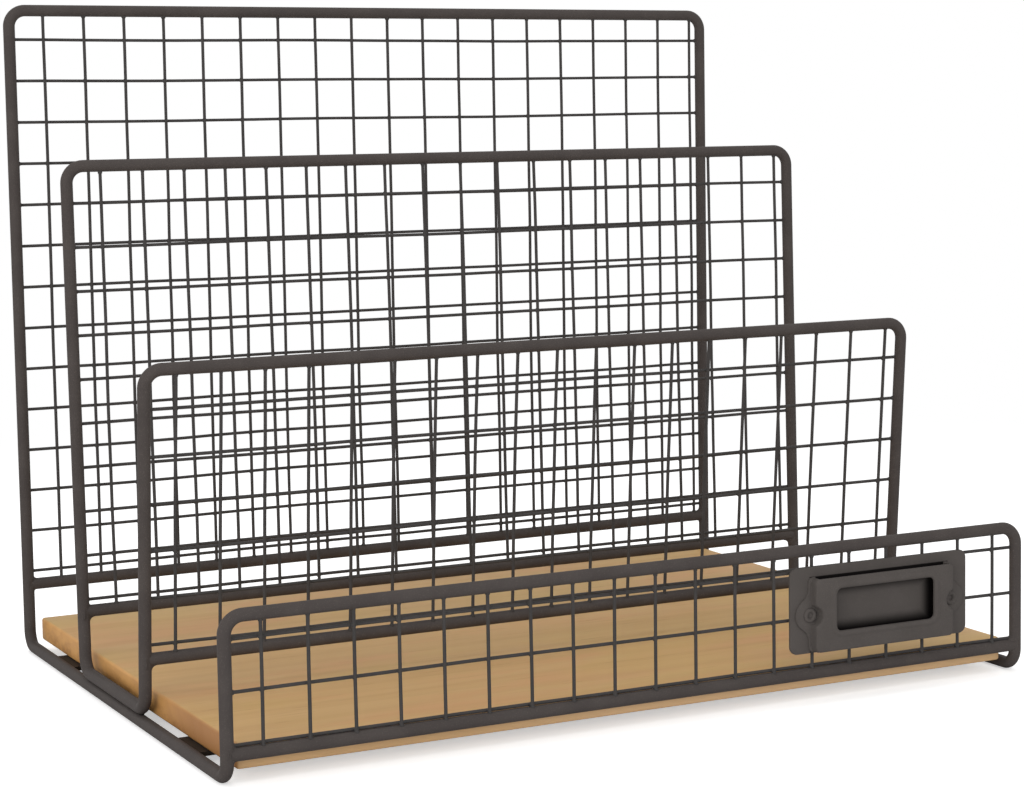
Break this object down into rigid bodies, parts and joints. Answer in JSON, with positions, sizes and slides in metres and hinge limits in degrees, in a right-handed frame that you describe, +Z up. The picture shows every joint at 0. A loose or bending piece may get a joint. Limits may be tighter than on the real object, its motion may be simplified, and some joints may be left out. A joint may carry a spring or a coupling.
{
  "type": "desk document holder",
  "caption": "Stepped wire-mesh desk document holder: bent-wire panels of falling height on a wooden board, with a riveted label holder on the front panel.",
  "frame": {"origin": "on the desk, under the middle of the holder's box", "axes": "+X to the right along the panels, +Y to the tall back panel, +Z up; the low front faces -Y"},
  "size_m": [0.308, 0.2386, 0.25],
  "materials": {
    "frame_wire": "satin graphite powder coat on bent steel wire",
    "mesh_wire": "satin graphite powder coat on thin welded steel wire",
    "label_metal": "satin graphite powder coat on stamped sheet steel",
    "tab_steel": "satin graphite powder coat on flat steel",
    "board_wood": "matt oiled pale wood, grain along the width",
    "screw_steel": "plain zinc-plated steel"
  },
  "bodies": {
    "root": {"outer_frame": "frame_wire", "inner_frame": "frame_wire", "back_bottom_bar": "frame_wire", "back_mesh_uprights": "mesh_wire", "back_mesh_crosswires": "mesh_wire", "second_bottom_bar": "frame_wire", "second_mesh_uprights": "mesh_wire", "second_mesh_crosswires": "mesh_wire", "third_bottom_bar": "frame_wire", "third_mesh_uprights": "mesh_wire", "third_mesh_crosswires": "mesh_wire", "front_bottom_bar": "frame_wire", "front_mesh_uprights": "mesh_wire", "front_mesh_crosswires": "mesh_wire", "back_left_tab": "tab_steel", "back_right_tab": "tab_steel", "front_left_tab": "tab_steel", "front_right_tab": "tab_steel", "base_board": "board_wood", "board_screws": "screw_steel", "label_plate": "label_metal", "label_frame": "label_metal", "label_rivets": "label_metal"}
  },
  "joints": []
}
